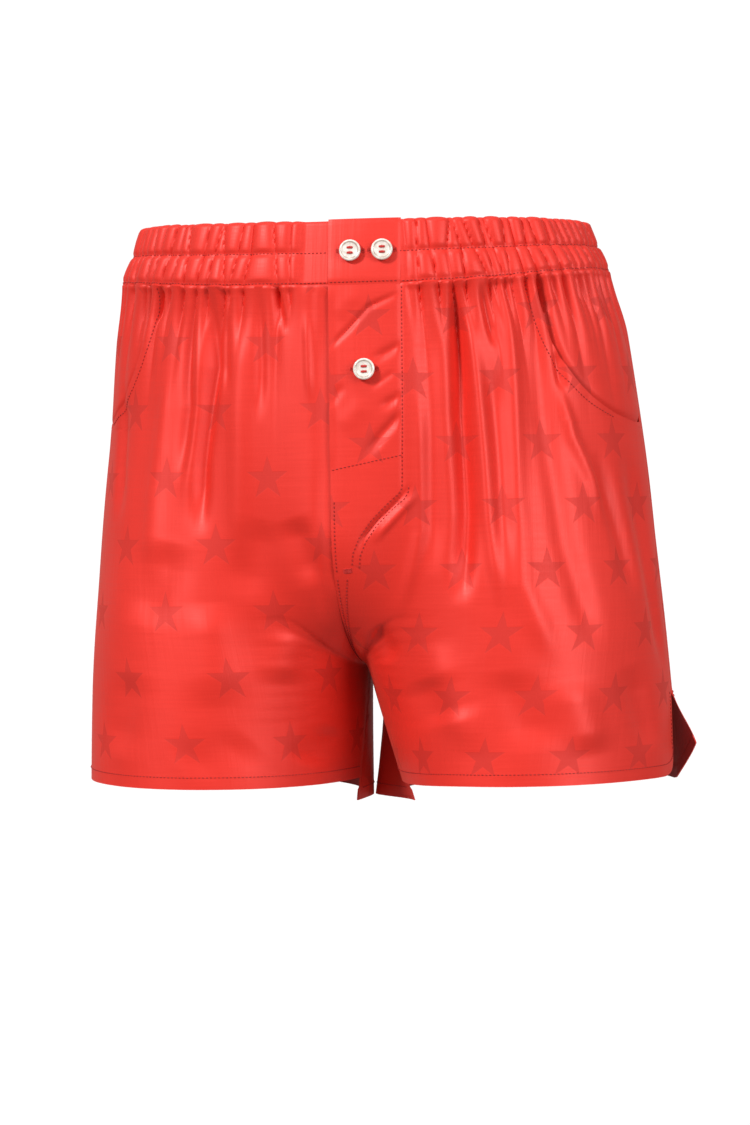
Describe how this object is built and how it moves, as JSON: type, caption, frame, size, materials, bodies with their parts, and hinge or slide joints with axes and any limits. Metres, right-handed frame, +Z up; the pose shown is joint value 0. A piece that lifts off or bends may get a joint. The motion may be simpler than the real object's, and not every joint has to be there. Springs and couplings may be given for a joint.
{
  "type": "satin boxer shorts",
  "caption": "Loose satin boxer shorts with a gathered elastic waist, buttoned fly, slant pockets and side vents.",
  "frame": {"origin": "centre of the waist opening, level with the waistband's top edge", "axes": "+Z up, -Y is the front, +X is the wearer's left"},
  "size_m": [0.4006, 0.2437, 0.3844],
  "materials": {
    "satin": "satin",
    "satin_reverse": "matte",
    "lining": "matte",
    "elastic": "matte",
    "pearl": "gloss",
    "thread": "matte",
    "label": "matte"
  },
  "bodies": {
    "shorts": {"front_panel_left": "satin", "front_panel_right": "satin", "back_panel_left": "satin", "back_panel_right": "satin", "waistband_left": "satin", "waistband_right": "satin", "waist_tab_underlap": "satin", "fly_facing_lower": "satin_reverse", "fly_underlap": "satin", "pocket_facing_left": "satin", "pocket_facing_right": "satin", "pocket_bag_left": "lining", "pocket_bag_right": "lining", "elastic_upper": "elastic", "elastic_lower": "elastic", "care_label": "label"},
    "flap": {"waist_tab": "satin", "fly_flap": "satin", "fly_facing": "satin_reverse"},
    "waist_button_inner": {"waist_button_inner": "pearl", "waist_button_inner_thread": "thread"},
    "waist_button_outer": {"waist_button_outer": "pearl", "waist_button_outer_thread": "thread"},
    "fly_button": {"fly_button": "pearl", "fly_button_thread": "thread"}
  },
  "joints": [
    {"name": "fly_flap_open", "type": "hinge", "parent": "shorts", "child": "flap", "pos_m": [0.04607, -0.11407, -0.07898], "axis": [0.0057, 0.0484, 0.9988], "range_deg": [0, 100], "stiffness_Nm_per_rad": 0.0005, "deforming": ["waist_tab", "fly_flap", "fly_facing"]},
    {"name": "waist_button_inner_tilt", "type": "hinge", "parent": "shorts", "child": "waist_button_inner", "pos_m": [0.01452, -0.11322, -0.01946], "axis": [0.9981, 0.0622, 0], "range_deg": [-15, 15], "stiffness_Nm_per_rad": 0.0005},
    {"name": "waist_button_outer_tilt", "type": "hinge", "parent": "shorts", "child": "waist_button_outer", "pos_m": [0.03454, -0.1111, -0.01946], "axis": [0.9888, 0.1494, 0], "range_deg": [-15, 15], "stiffness_Nm_per_rad": 0.0005},
    {"name": "fly_button_tilt", "type": "hinge", "parent": "shorts", "child": "fly_button", "pos_m": [0.02284, -0.11558, -0.09557], "axis": [0.9963, 0.0854, 0], "range_deg": [-15, 15], "stiffness_Nm_per_rad": 0.0005}
  ]
}
